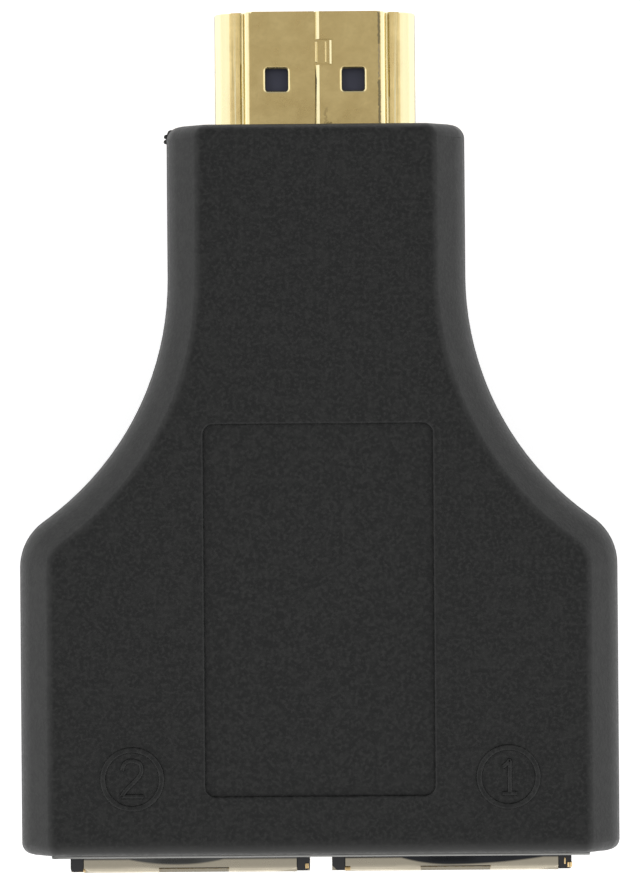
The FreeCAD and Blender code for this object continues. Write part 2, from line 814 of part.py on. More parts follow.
def jack_shield(port):
    name = f"{port}_shield"
    body = new_body(name)
    tube = [jack_section(ZERO), jack_section(d.jack_sheet)]
    prism(body, f"{name}_tube", "XZ_Plane", tube, jack_front, jack_back)
    front = [jack_section(ZERO), mouth_shape(d.mouth_margin)]
    prism(body, f"{name}_front", "XZ_Plane", front, jack_front, jack_front + d.jack_sheet)
    cut_board_step(body, name)
    side = d.jack_width / 2
    tabs = [rectangle(sign * side, tab_y - tab_half, sign * (side - d.jack_sheet), tab_y + tab_half)
            for sign in (1, -1)]
    prism(body, f"{name}_tabs", "XY_Plane", tabs, board_bottom - d.tail_below, board_top + d.jack_sheet)
    relief_x = side - d.corner_relief
    relief_end = jack_front + d.corner_relief_depth
    reliefs = [rectangle(sign * side, jack_front, sign * relief_x, relief_end) for sign in (1, -1)]
    prism(body, f"{name}_reliefs", "XY_Plane", reliefs, jack_top - d.corner_relief, jack_top, cut=True)
    finger = d.ground_finger_width / 2
    notch = [rectangle(d.ground_finger_offset - finger, jack_front, d.ground_finger_offset + finger,
                       jack_front + d.ground_notch)]
    prism(body, f"{name}_notch", "XY_Plane", notch, jack_top - 2 * d.jack_sheet, jack_top, cut=True)
    return body


def jack_back_plate(port):
    name = f"{port}_back_plate"
    body = new_body(name)
    prism(body, f"{name}_sheet", "XZ_Plane", [core_section()], jack_back - d.jack_sheet, jack_back)
    cut_board_step(body, name)
    return body


def jack_housing(port):
    name = f"{port}_housing"
    body = new_body(name)
    front = jack_front + d.jack_sheet + d.jack_fit
    back = jack_back - d.jack_sheet - d.jack_fit
    prism(body, f"{name}_block", "XZ_Plane", [core_section()], front, back)
    cut_board_step(body, name)
    ear_outer, ear_inner = d.jack_width / 2, d.jack_width / 2 - d.corner_relief + d.jack_fit
    ear_front = jack_front + 2 * d.jack_fit
    ear_back = jack_front + d.corner_relief_depth - d.jack_fit
    ears = [rectangle(sign * ear_outer, ear_front, sign * ear_inner, ear_back) for sign in (1, -1)]
    ear_bottom = jack_top - d.corner_relief + d.jack_fit
    prism(body, f"{name}_ears", "XY_Plane", ears, ear_bottom, jack_top)
    mouth_end = jack_front + d.mouth_depth
    prism(body, f"{name}_mouth", "XZ_Plane", [mouth_shape(ZERO)], front, mouth_end, cut=True)
    wide = d.latch_width / 2
    latch = [rectangle(-wide, mouth_floor - d.latch_drop, wide, mouth_floor - d.latch_step)]
    prism(body, f"{name}_latch", "XZ_Plane", latch, jack_front + d.latch_wall, mouth_end, cut=True)
    slot_half = d.insert_width / 2 + d.jack_fit
    slot_top = insert_bottom + d.insert_height + 2 * d.jack_fit
    slot_front = axis_y - d.wire_root_radius - d.jack_sheet
    slot = [rectangle(-slot_half, insert_bottom, slot_half, slot_top)]
    prism(body, f"{name}_slot", "XZ_Plane", slot, slot_front, back, cut=True)
    window_half = d.wire_spacing * CONTACTS_PER_JACK / 2
    window = [rectangle(-window_half, slot_front, window_half, mouth_end)]
    prism(body, f"{name}_window", "XY_Plane", window, mouth_roof, insert_bottom, cut=True)
    tails = [rectangle(-slot_half, tail_rows[0] - d.tail_clearance, slot_half, back)]
    prism(body, f"{name}_tail_space", "XY_Plane", tails, board_top, insert_bottom, cut=True)
    return body


def contact_insert(port):
    name = f"{port}_contact_insert"
    body = new_body(name)
    half = d.insert_width / 2
    bottom = insert_bottom + d.jack_fit
    start = axis_y + d.wire_root_radius + 2 * d.wire_gap
    end = jack_back - d.jack_sheet - 2 * d.jack_fit
    block = [rectangle(-half, bottom, half, bottom + d.insert_height)]
    prism(body, f"{name}_block", "XZ_Plane", block, start, end)
    groove_half = d.wire_width / 2 + d.wire_gap
    groove = [rectangle(first_wire - groove_half, bottom, first_wire + groove_half, wire_top)]
    cut = prism(body, f"{name}_groove", "XZ_Plane", groove, start, end, cut=True)
    repeat(body, cut, d.wire_spacing, CONTACTS_PER_JACK)
    return body


def contact_tails(port):
    """Fixed wires: along the insert, then down through the board in two staggered rows."""
    name = f"{port}_contact_tails"
    body = new_body(name)
    start = axis_y + d.wire_root_radius + d.wire_gap
    low = board_bottom - d.tail_below
    half_thick = d.wire_thickness / 2
    for number, tail_y in enumerate(tail_rows):
        near_side, far_side = tail_y - half_thick, tail_y + half_thick
        outline = [
            line(start, wire_bottom), line(near_side, wire_bottom), line(near_side, low),
            line(far_side, low), line(far_side, wire_top), line(start, wire_top),
        ]
        x = first_wire + d.wire_spacing * number
        half = d.wire_width / 2
        wire = prism(body, f"{name}_wire_{number}", "YZ_Plane", [outline], x - half, x + half)
        repeat(body, wire, 2 * d.wire_spacing, CONTACTS_PER_JACK // 2)
    return body


def contact_springs(port):
    """Sprung arms: each turns about a round root at the front and slopes down to the rear."""
    name = f"{port}_contact_springs"
    body = new_body(name)
    half = d.wire_width / 2
    half_thick = d.wire_thickness / 2
    run, drop = cosine(d.wire_tilt), sine(d.wire_tilt)
    tip_y = axis_y + d.wire_reach * run
    tip_z = axis_z - d.wire_reach * drop
    arm = [
        line(axis_y + half_thick * drop, axis_z + half_thick * run),
        line(axis_y - half_thick * drop, axis_z - half_thick * run),
        line(tip_y - half_thick * drop, tip_z - half_thick * run),
        line(tip_y + half_thick * drop, tip_z + half_thick * run),
    ]
    span = (first_wire - half, first_wire + half)
    root = prism(body, f"{name}_root", "YZ_Plane", [octagon(axis_y, axis_z, d.wire_root_radius)], *span)
    repeat(body, root, d.wire_spacing, CONTACTS_PER_JACK)
    blade = prism(body, f"{name}_blade", "YZ_Plane", [arm], *span)
    repeat(body, blade, d.wire_spacing, CONTACTS_PER_JACK)
    return body


def jack(port, side):
    parts = [make(port) for make in (jack_shield, jack_back_plate, jack_housing, contact_insert,
                                     contact_tails, contact_springs)]
    for body in parts:
        body.setExpression("Placement.Base.x", (side * jack_pitch / 2).formula)
    return parts


# Circuit board


def circuit_board():
    body = new_body("circuit_board")
    wide = board_width / 2
    neck = d.plug_width / 2 - d.plug_sheet - d.plug_fit
    wide_end = board_front + d.board_wide_length
    outline = both_sides([
        line(wide, board_front), line(wide, wide_end),
        line(neck, wide_end + d.board_taper_length), line(neck, block_back - d.plug_fit),
    ])
    prism(body, "board_sheet", "XY_Plane", [outline], board_bottom, board_top)
    prism(body, "board_pin_holes", "XY_Plane", pin_circles(d.pin_gap), board_bottom, board_top, cut=True)
    slots = []
    inner = d.jack_width / 2 - d.jack_sheet - d.jack_fit
    outer = d.jack_width / 2 + d.jack_fit
    reach = tab_half + d.jack_fit
    low, high = tab_y - reach, tab_y + reach
    for centre in (jack_pitch / 2, -jack_pitch / 2):
        slots += [rectangle(centre + sign * inner, low, centre + sign * outer, high) for sign in (1, -1)]
    prism(body, "board_tab_slots", "XY_Plane", slots, board_bottom, board_top, cut=True)
    for port, centre in (("right", jack_pitch / 2), ("left", -jack_pitch / 2)):
        for number, tail_y in enumerate(tail_rows):
            x = centre + first_wire + d.wire_spacing * number
            hole = [octagon(x, tail_y, d.tail_hole / 2)]
            name = f"board_{port}_holes_{number}"
            cut = prism(body, name, "XY_Plane", hole, board_bottom, board_top, cut=True)
            repeat(body, cut, 2 * d.wire_spacing, CONTACTS_PER_JACK // 2)
    return body


def chip_row(name, y):
    body = new_body(name)
    first = -d.chip_spacing * (CHIPS_PER_ROW - 1) / 2
    half = d.chip_width / 2
    plan = [rectangle(first - half, y, first + half, y + d.chip_length)]
    chip = prism(body, f"{name}_chip", "XY_Plane", plan, board_top, board_top + d.chip_height)
    repeat(body, chip, d.chip_spacing, CHIPS_PER_ROW)
    return body


parts = [front_cover(), rear_cover(), circuit_board(), plug_shell(), plug_nose(), plug_rear_block()]
parts += [plug_contacts(*row) for row in contact_rows()]
parts += jack("port_1", 1)
parts += jack("port_2", -1)
chip_y = jack_back + d.chip_setback
parts.append(chip_row("chip_capacitors", chip_y))
parts.append(chip_row("chip_resistors", chip_y + d.chip_length + d.chip_spacing))

doc.recompute()
for item in doc.Objects:
    if "Invalid" in item.State or "Error" in item.State:
        raise RuntimeError(f"{item.Name} failed: {item.State}")
for body in parts:
    if body.Shape.isNull() or not body.Shape.isValid():
        raise RuntimeError(f"{body.Label} has no valid shape")

for body in parts:
    body.Shape.exportStep(f"parts/{body.Label}.step")
    print(body.Label, len(body.Shape.Solids), "solids, volume", round(body.Shape.Volume, 2))
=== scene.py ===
"""Finish and small forms of a plug adapter with two modular jacks, and a plain studio round it."""

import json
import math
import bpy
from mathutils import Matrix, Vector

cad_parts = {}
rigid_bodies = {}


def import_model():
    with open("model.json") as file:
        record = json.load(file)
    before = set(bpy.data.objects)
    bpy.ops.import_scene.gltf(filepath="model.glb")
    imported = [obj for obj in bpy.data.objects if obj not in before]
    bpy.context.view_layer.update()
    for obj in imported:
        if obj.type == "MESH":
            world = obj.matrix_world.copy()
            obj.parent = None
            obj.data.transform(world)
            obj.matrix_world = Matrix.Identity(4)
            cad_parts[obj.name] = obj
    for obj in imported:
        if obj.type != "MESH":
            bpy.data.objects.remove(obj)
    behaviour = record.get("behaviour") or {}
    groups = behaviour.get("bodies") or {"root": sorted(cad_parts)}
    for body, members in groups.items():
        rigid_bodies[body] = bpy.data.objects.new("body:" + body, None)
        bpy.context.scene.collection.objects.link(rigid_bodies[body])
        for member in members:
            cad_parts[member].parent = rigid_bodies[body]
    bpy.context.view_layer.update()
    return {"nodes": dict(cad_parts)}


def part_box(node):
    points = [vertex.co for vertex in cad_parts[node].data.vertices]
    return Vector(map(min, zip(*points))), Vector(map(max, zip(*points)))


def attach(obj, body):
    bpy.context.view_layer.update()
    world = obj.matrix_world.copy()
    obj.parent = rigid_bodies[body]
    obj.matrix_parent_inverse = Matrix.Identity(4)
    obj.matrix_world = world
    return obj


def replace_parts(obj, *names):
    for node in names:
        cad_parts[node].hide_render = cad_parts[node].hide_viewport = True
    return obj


bl_info = {
    "name": "Plug Adapter Finish",
    "version": (1, 0, 0),
    "blender": (4, 5, 0),
    "location": "View3D > Sidebar > Adapter",
    "description": "Dresses a packed plug adapter: moulded housing, plated plug, shielded jacks",
    "category": "Object",
}

import bmesh
import bpy

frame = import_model()

MM = 0.001
WELD = 0.002 * MM
NEAR = 0.004 * MM
PORTS = ("port_1", "port_2")

# Least height of a flat face's normal, and the angles of sharp and of flat edges
FLAT = 0.9999
SHARP_ANGLE = 1.0
FLAT_ANGLE = 0.01

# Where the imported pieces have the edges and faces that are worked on
PARTING = 8.7 * MM
RING_HEIGHT = 0.15 * MM
RING_PLACES = {"one": (12.65 * MM, -22.855 * MM), "two": (-12.65 * MM, -22.855 * MM)}
BEVEL = 2.1 * MM
FOLD_CUT = 0.58 * MM
RIM_EDGE = {"front_cover": 16.3 * MM, "rear_cover": 1.1 * MM}
RECESS_SIDE = 7.71 * MM
RECESS_ENDS = (-24.06 * MM, 0.96 * MM)
PLUG_MIDDLE = 8.55 * MM
WINDOW_PLACE = 2.635 * MM
WINDOW_REACH = 0.8 * MM
WINDOW_SETBACK = (5.5 * MM, 3.9 * MM)
TAB_SETBACK = (3.69 * MM, 1.91 * MM)
TAB_EDGE = 1.16 * MM
TAB_CREASE = 1.02 * MM
SLIT = 0.04 * MM
STRIP_LEVELS = (10.04 * MM, 10.13 * MM)
RIDGE_SIDE = 4.35 * MM


# Settings


class HousingSettings(bpy.types.PropertyGroup):
    """Sizes and colours of the moulded housing."""

    plastic: bpy.props.FloatVectorProperty(
        name="Plastic", description="Colour of the moulded plastic", subtype="COLOR",
        default=(0.0016, 0.0021, 0.0019), min=0, max=1)
    worn: bpy.props.FloatVectorProperty(
        name="Rubbed plastic", description="Colour where the grain is rubbed lighter",
        subtype="COLOR", default=(0.0150, 0.0153, 0.0146), min=0, max=1)
    grain: bpy.props.FloatProperty(
        name="Grain", description="Width of one grain of the moulded texture", unit="LENGTH",
        default=0.26 * MM)
    grain_depth: bpy.props.FloatProperty(
        name="Grain depth", description="Depth of the moulded texture", unit="LENGTH",
        default=0.02 * MM)
    recess_round: bpy.props.FloatProperty(
        name="Recess rounding", description="Rounding along the edge of the recess", unit="LENGTH",
        default=0.18 * MM)
    ring_round: bpy.props.FloatProperty(
        name="Ring rounding", description="Rounding of the raised rings", unit="LENGTH",
        default=0.13 * MM)
    rim_round: bpy.props.FloatProperty(
        name="Rim rounding", description="Rounding of the rim round the jacks", unit="LENGTH",
        default=0.17 * MM)
    fold_round: bpy.props.FloatProperty(
        name="Fold rounding", description="Softening where the bevel turns into the side",
        unit="LENGTH", default=0.5 * MM)
    # Painted highlight: the light grey colour along the top edge of the rim round the jacks
    rim_highlight: bpy.props.FloatVectorProperty(
        name="Rim highlight", description="Colour where plugs rub the rim round the jacks",
        subtype="COLOR", default=(0.27, 0.27, 0.26), min=0, max=1)
    # Painted highlight: the lighter colour of the housing's end beside the rim
    end_highlight: bpy.props.FloatVectorProperty(
        name="End highlight", description="Colour of the housing's edge beside the rim",
        subtype="COLOR", default=(0.030, 0.030, 0.029), min=0, max=1)
    stroke: bpy.props.FloatProperty(
        name="Stroke", description="Width of a raised numeral's stroke", unit="LENGTH",
        default=0.34 * MM)
    stroke_height: bpy.props.FloatProperty(
        name="Stroke height", description="How far a numeral stands out", unit="LENGTH",
        default=0.13 * MM)


class PlugSettings(bpy.types.PropertyGroup):
    """Sizes and colours of the plated plug shell."""

    plating: bpy.props.FloatVectorProperty(
        name="Plating", description="Colour of the plating", subtype="COLOR",
        default=(1.0, 0.77, 0.345), min=0, max=1)
    flank: bpy.props.FloatVectorProperty(
        name="Flanks", description="Colour of the plating off the flat faces, where it's unrubbed",
        subtype="COLOR", default=(0.92, 0.82, 0.50), min=0, max=1)
    # Painted shade: a darker colour given to the plug's upright sides
    side: bpy.props.FloatVectorProperty(
        name="Sides", description="Colour of the shaded upright sides", subtype="COLOR",
        default=(0.72, 0.65, 0.46), min=0, max=1)
    stain: bpy.props.FloatVectorProperty(
        name="Stain", description="Colour of the plating where it is handled", subtype="COLOR",
        default=(0.78, 0.58, 0.24), min=0, max=1)
    window_corner: bpy.props.FloatProperty(
        name="Window corner", description="Corner radius of the square windows", unit="LENGTH",
        default=0.15 * MM)
    window_round: bpy.props.FloatProperty(
        name="Window rounding", description="Rounding along the window edges", unit="LENGTH",
        default=0.2 * MM)
    seam_width: bpy.props.FloatProperty(
        name="Seam lip width", description="Width of the sheet edge pressed down at the seam",
        unit="LENGTH", default=0.27 * MM)
    seam_drop: bpy.props.FloatProperty(
        name="Seam lip drop", description="How far that sheet edge is pressed down", unit="LENGTH",
        default=0.14 * MM)
    tab_drop: bpy.props.FloatProperty(
        name="Tab drop", description="How far the lock tab's end is pressed down", unit="LENGTH",
        default=0.07 * MM)
    strip_rise: bpy.props.FloatProperty(
        name="Strip rise", description="How far the strip beside each fold leans up", unit="LENGTH",
        default=0.09 * MM)
    tip_round: bpy.props.FloatProperty(
        name="Tip rounding", description="Rounding round the plug's mouth", unit="LENGTH",
        default=0.14 * MM)


class JackSettings(bpy.types.PropertyGroup):
    """Sizes and colours of the shielded jacks."""

    plating: bpy.props.FloatVectorProperty(
        name="Plating", description="Colour of the shield's plating", subtype="COLOR",
        default=(0.62, 0.56, 0.44), min=0, max=1)
    brass: bpy.props.FloatVectorProperty(
        name="Brass", description="Colour of cut edges and curls", subtype="COLOR",
        default=(0.82, 0.62, 0.34), min=0, max=1)
    front_round: bpy.props.FloatProperty(
        name="Front rounding", description="Rounding of the fold at the jack's front",
        unit="LENGTH", default=0.32 * MM)
    dent: bpy.props.FloatProperty(
        name="Dent", description="Depth of the shallow dent where the rim presses on the sheet",
        unit="LENGTH", default=0.1 * MM)
    opening_round: bpy.props.FloatProperty(
        name="Opening rounding", description="Rounding of the sheet round the jack's opening",
        unit="LENGTH", default=0.08 * MM)
    ear_round: bpy.props.FloatProperty(
        name="Ear rounding", description="Rounding of the black corner ears", unit="LENGTH",
        default=0.22 * MM)
    ear_cut: bpy.props.FloatProperty(
        name="Ear cut", description="Slant of the one ear that is trimmed off", unit="LENGTH",
        default=0.32 * MM)


class StageSettings(bpy.types.PropertyGroup):
    """Camera and light."""

    distance: bpy.props.FloatProperty(
        name="Distance", description="Camera distance above the housing's middle plane",
        unit="LENGTH", default=0.3)
    scale: bpy.props.FloatProperty(
        name="Scale", description="Image pixels for each millimetre at the middle plane",
        default=14.45)
    roll: bpy.props.FloatProperty(
        name="Roll", description="Turn of the camera about its own axis", subtype="ANGLE",
        default=math.radians(-0.45))
    offset: bpy.props.FloatVectorProperty(
        name="Offset", description="Point of the part that the camera looks straight down on",
        size=2, unit="LENGTH", default=(0.15 * MM, -0.5 * MM))
    side_level: bpy.props.FloatProperty(
        name="Side lights", description="Brightness of each broad side light", default=0.25)
    sky_level: bpy.props.FloatProperty(
        name="Ceiling", description="Brightness straight above", default=0.46)
    glow_level: bpy.props.FloatProperty(
        name="Side glow", description="Extra brightness of the ceiling towards the side lights",
        default=0.5)
    front_level: bpy.props.FloatProperty(
        name="Front glow", description="Extra brightness of the wall that faces the jacks",
        default=0.5)
    floor_level: bpy.props.FloatProperty(
        name="Floor light", description="Light that the lit table gives by itself", default=0.62)


class AdapterSettings(bpy.types.PropertyGroup):
    """All settings of the adapter."""

    housing: bpy.props.PointerProperty(type=HousingSettings)
    plug: bpy.props.PointerProperty(type=PlugSettings)
    jack: bpy.props.PointerProperty(type=JackSettings)
    stage: bpy.props.PointerProperty(type=StageSettings)


def settings():
    return bpy.context.scene.adapter


# Tools for meshes


def only(piece):
    """Select one object and nothing else."""
    bpy.ops.object.select_all(action="DESELECT")
    piece.select_set(True)
    bpy.context.view_layer.objects.active = piece


def pick(piece, kind, test):
    """In edit mode, select the vertices, edges or faces that pass the test."""
    bpy.ops.mesh.select_mode(type={"verts": "VERT", "edges": "EDGE", "faces": "FACE"}[kind])
    bpy.ops.mesh.select_all(action="DESELECT")
    form = bmesh.from_edit_mesh(piece.data)
    found = [part for part in getattr(form, kind) if test(part)]
    for part in found:
        part.select_set(True)
    form.select_flush_mode()
    bmesh.update_edit_mesh(piece.data)
    if not found:
        raise RuntimeError(f"nothing to select on {piece.name}")


def edit(piece):
    only(piece)
    bpy.ops.object.mode_set(mode="EDIT")


def leave():
    bpy.ops.object.mode_set(mode="OBJECT")


def copy_of(node, name):
    """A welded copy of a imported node, to be worked on and shown in its place."""
    mesh = frame["nodes"][node].data.copy()
    mesh.name = name
    piece = bpy.data.objects.new(name, mesh)
    bpy.context.scene.collection.objects.link(piece)
    only(piece)
    bpy.ops.mesh.customdata_custom_splitnormals_clear()
    bpy.ops.object.mode_set(mode="EDIT")
    bpy.ops.mesh.select_all(action="SELECT")
    bpy.ops.mesh.remove_doubles(threshold=WELD)
    leave()
    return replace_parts(piece, node)


def flatten(piece):
    """Join the coplanar triangles of the faces that look straight up or down."""
    pick(piece, "faces", lambda face: abs(face.normal.z) > FLAT)
    bpy.ops.mesh.dissolve_limited(angle_limit=math.radians(0.4))


def on_plane(edge, axis, place):
    return all(abs(vertex.co[axis] - place) < NEAR for vertex in edge.verts)


def sharp(edge):
    return edge.calc_face_angle(0) > SHARP_ANGLE


def flat_across(edge):
    return edge.calc_face_angle(1) < FLAT_ANGLE


def round_edges(piece, test, size, segments=3):
    """Round the edges that pass the test by the given width."""
    pick(piece, "edges", test)
    bpy.ops.mesh.bevel(offset=size, offset_type="OFFSET", segments=segments, profile=0.5,
                       affect="EDGES", clamp_overlap=False)


def smooth(piece, degrees=35):
    """Shade the curved faces smooth and keep the broad flat ones flat."""
    only(piece)
    bpy.ops.object.shade_smooth_by_angle(angle=math.radians(degrees))
    bpy.ops.object.modifier_add(type="WEIGHTED_NORMAL")
    weigh = piece.modifiers[-1]
    weigh.keep_sharp = True
    bpy.ops.object.modifier_apply(modifier=weigh.name)


def divide(piece, axis, places, test=None):
    """Cut across the faces that pass the test at the given places along an axis."""
    for place in places:
        if test is None:
            bpy.ops.mesh.select_all(action="SELECT")
        else:
            pick(piece, "faces", test)
        point, way = [0, 0, 0], [0, 0, 0]
        point[axis], way[axis] = place, 1
        bpy.ops.mesh.bisect(plane_co=point, plane_no=way)


def drop_diagonals(piece, level):
    """Join the flat faces at a level across their diagonal edges."""
    def diagonal(edge):
        if not on_plane(edge, 2, level) or not flat_across(edge):
            return False
        way = edge.verts[0].co - edge.verts[1].co
        return min(abs(way.x), abs(way.y)) > NEAR

    pick(piece, "edges", diagonal)
    bpy.ops.mesh.dissolve_edges(use_verts=False)


def finish_piece(piece, body, material):
    """Give a finished piece its material and the body that it rides on."""
    piece.data.materials.clear()
    piece.data.materials.append(material)
    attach(piece, body)
    return piece


def settle(piece):
    """Move a new piece's place, turn and scale into its mesh."""
    only(piece)
    bpy.ops.object.transform_apply(location=True, rotation=True, scale=True)
    return piece


# Tools for materials


def add_node(tree, kind, inputs=(), **values):
    node = tree.nodes.new(kind)
    for name, value in values.items():
        setattr(node, name, value)
    for name, value in dict(inputs).items():
        if hasattr(value, "is_output"):
            tree.links.new(value, node.inputs[name])
        else:
            node.inputs[name].default_value = value
    return node


def compute(tree, operation, *values):
    """One step of arithmetic on node values."""
    return add_node(tree, "ShaderNodeMath", enumerate(values), operation=operation).outputs["Value"]


def new_material(name):
    """An empty material with its node tree, shader and place on the object."""
    material = bpy.data.materials.new(name)
    material.use_nodes = True
    tree = material.node_tree
    tree.nodes.clear()
    place = add_node(tree, "ShaderNodeTexCoord").outputs["Object"]
    shader = add_node(tree, "ShaderNodeBsdfPrincipled")
    add_node(tree, "ShaderNodeOutputMaterial", {"Surface": shader.outputs["BSDF"]})
    return material, tree, shader, place


def noise(tree, place, feature, detail=3.0, roughness=0.55, stretch=(1, 1, 1)):
    """Noise with features of the given size; a stretch over one draws them out along that axis."""
    scale = tuple(1 / (feature * part) for part in stretch)
    mapping = add_node(tree, "ShaderNodeMapping", {"Vector": place, "Scale": scale})
    texture = add_node(tree, "ShaderNodeTexNoise", {
        "Vector": mapping.outputs["Vector"], "Scale": 1.0, "Detail": detail,
        "Roughness": roughness})
    return texture.outputs["Fac"]


def spread(tree, value, low, high, start=0.3, end=0.7):
    """Map a noise value to a range."""
    return add_node(tree, "ShaderNodeMapRange", {
        "Value": value, "From Min": start, "From Max": end, "To Min": low, "To Max": high,
    }).outputs["Result"]


def blend_colours(tree, factor, first, second):
    mix = add_node(tree, "ShaderNodeMix", data_type="RGBA")
    tree.links.new(factor, mix.inputs["Factor"])
    for name, value in (("A", first), ("B", second)):
        socket = next(s for s in mix.inputs if s.name == name and s.type == "RGBA")
        if hasattr(value, "is_output"):
            tree.links.new(value, socket)
        else:
            socket.default_value = (*value, 1)
    return next(s for s in mix.outputs if s.type == "RGBA")


def bump(tree, height, distance, strength=1.0, base=None):
    inputs = {"Height": height, "Distance": distance, "Strength": strength}
    if base is not None:
        inputs["Normal"] = base
    return add_node(tree, "ShaderNodeBump", inputs).outputs["Normal"]


def edge_wear(tree):
    """How sharply the surface turns outwards, from 0 on flats to 1 on edges."""
    point = add_node(tree, "ShaderNodeNewGeometry").outputs["Pointiness"]
    return spread(tree, point, 0.0, 1.0, 0.52, 0.6)


def within(tree, value, middle, half, soft):
    """1 where a value is within half of the middle, falling to 0 over the soft width."""
    away = compute(tree, "ABSOLUTE", compute(tree, "SUBTRACT", value, middle))
    return spread(tree, away, 1, 0, half, half + soft)


def times(tree, first, second):
    return compute(tree, "MULTIPLY", first, second)


def set_up(shader, tree, **sockets):
    """Give the shader's sockets their values or links."""
    for name, value in sockets.items():
        socket = shader.inputs[name.replace("_", " ")]
        if hasattr(value, "is_output"):
            tree.links.new(value, socket)
        else:
            socket.default_value = value


def textured_plastic():
    """Black moulded plastic with a fine spark-eroded grain, with painted highlights on the
    housing's jack end and along the rim's top edge.
    """
    size = settings().housing
    material, tree, shader, place = new_material("textured_plastic")
    grain = noise(tree, place, size.grain, detail=2.5, roughness=0.6)
    broad = noise(tree, place, size.grain * 3, detail=3)
    waves = noise(tree, place, size.grain * 45, detail=1)
    speckle = spread(tree, grain, 0, 1, 0.46, 0.66)
    patches = spread(tree, broad, 0, 0.5, 0.46, 0.66)
    colour = blend_colours(tree, speckle, tuple(size.plastic), tuple(size.worn))
    colour = blend_colours(tree, patches, colour, tuple(size.worn))
    axes = add_node(tree, "ShaderNodeSeparateXYZ", {"Vector": place}).outputs
    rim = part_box("front_cover")[0].y
    # Painted highlight: the housing grows lighter over its last millimetre towards the jack end
    end = spread(tree, axes["Y"], 1, 0, rim + 0.3 * MM, rim + 1.3 * MM)
    colour = blend_colours(tree, end, colour, tuple(size.end_highlight))
    # Painted highlight, broken up by noise, on the rim's face
    on_rim = spread(tree, axes["Y"], 1, 0, rim + 0.1 * MM, rim + 0.16 * MM)
    faint_rim_highlight = times(tree, on_rim, spread(tree, broad, 0.1, 0.5))
    colour = blend_colours(tree, faint_rim_highlight, colour, tuple(size.end_highlight))
    # Painted highlight: light grey along the rim's top edge
    edge = within(tree, axes["Z"], RIM_EDGE["front_cover"], 0.2 * MM, 0.25 * MM)
    colour = blend_colours(tree, times(tree, on_rim, edge), colour, tuple(size.rim_highlight))
    normal = bump(tree, waves, 0.05 * MM, 0.5)
    normal = bump(tree, broad, 0.02 * MM, 0.4, normal)
    normal = bump(tree, grain, size.grain_depth, 1.0, normal)
    set_up(shader, tree, Base_Color=colour, Roughness=spread(tree, grain, 0.42, 0.58),
           Normal=normal, IOR=1.46)
    return material


def plain_plastic(name, colour, roughness):
    """Smooth black insulator with faint flow marks and rubbed edges."""
    material, tree, shader, place = new_material(name)
    flow = noise(tree, place, 1.4 * MM, stretch=(1, 3, 1))
    fine = noise(tree, place, 0.12 * MM)
    lighter = tuple(part * 1.9 + 0.004 for part in colour)
    tone = blend_colours(tree, spread(tree, flow, 0, 0.4), colour, lighter)
    tone = blend_colours(tree, edge_wear(tree), tone, lighter)
    normal = bump(tree, fine, 0.006 * MM)
    rough = spread(tree, flow, roughness - 0.05, roughness + 0.08)
    set_up(shader, tree, Base_Color=tone, Roughness=rough, Normal=normal)
    return material


def plated(name, colour, stain, roughness, flank=None, side=None, marks=(), metallic=1.0):
    """Bright plating with drawn lines along the part, handling stains and a soft mottle, and
    painted shade on the upright sides when a side colour is given.

    Each mark is a place, its half sizes across and along and its ragged width, all in
    millimetres, and its colour. Marks lie on the upper half of the part only.
    """
    material, tree, shader, place = new_material(name)
    lines = noise(tree, place, 0.05 * MM, detail=2, stretch=(1, 30, 1))
    cloud = noise(tree, place, 1.6 * MM, detail=5, roughness=0.65)
    spots = noise(tree, place, 0.35 * MM, detail=3)
    tone = blend_colours(tree, spread(tree, cloud, 0, 1, 0.35, 0.75), colour, stain)
    tone = blend_colours(tree, spread(tree, spots, 0, 0.35, 0.55, 0.8), tone, stain)
    if flank is not None:
        turn = add_node(tree, "ShaderNodeNewGeometry").outputs["True Normal"]
        lean = add_node(tree, "ShaderNodeSeparateXYZ", {"Vector": turn}).outputs["Z"]
        lean = compute(tree, "ABSOLUTE", lean)
        tone = blend_colours(tree, spread(tree, lean, 1, 0, 0.93, 0.985), tone, flank)
        # Painted shade: the upright sides take the darker side colour
        tone = blend_colours(tree, spread(tree, lean, 1, 0, 0.08, 0.3), tone, side)
    axes = add_node(tree, "ShaderNodeSeparateXYZ", {"Vector": place}).outputs
    soft = 0.05 * MM
    for (x, y), (half_x, half_y), ragged, mark in marks:
        rough_edge = noise(tree, place, 0.22 * MM, detail=3, roughness=0.7)
        torn = spread(tree, rough_edge, -ragged * MM, ragged * MM, 0.25, 0.75)
        across = compute(tree, "ADD", axes["X"], torn)
        along = compute(tree, "ADD", axes["Y"], torn)
        inside = times(tree, within(tree, across, x * MM, half_x * MM, soft),
                       within(tree, along, y * MM, half_y * MM, soft))
        above = spread(tree, axes["Z"], 0, 1, PARTING, PARTING + 0.1 * MM)
        tone = blend_colours(tree, times(tree, inside, above), tone, mark)
    rough = spread(tree, cloud, roughness - 0.05, roughness + 0.1)
    normal = bump(tree, cloud, 0.02 * MM, 0.5)
    normal = bump(tree, lines, 0.004 * MM, 0.6, normal)
    set_up(shader, tree, Base_Color=tone, Roughness=rough, Normal=normal, Metallic=metallic)
    return material


def solder_mask():
    """Green board with its glass weave and a slightly uneven mask."""
    material, tree, shader, place = new_material("solder_mask")
    threads = [add_node(tree, "ShaderNodeTexWave",
                        {"Vector": place, "Scale": 420.0, "Distortion": 0.4},
                        bands_direction=way).outputs["Fac"] for way in ("X", "Y")]
    weave = times(tree, *threads)
    cloud = noise(tree, place, 3 * MM)
    tone = blend_colours(tree, spread(tree, cloud, 0, 1), (0.010, 0.085, 0.030),
                         (0.016, 0.115, 0.042))
    tone = blend_colours(tree, spread(tree, weave, 0, 0.25, 0, 1), tone, (0.03, 0.16, 0.07))
    normal = bump(tree, weave, 0.004 * MM)
    set_up(shader, tree, Base_Color=tone, Roughness=spread(tree, cloud, 0.28, 0.4),
           Normal=normal)
    return material


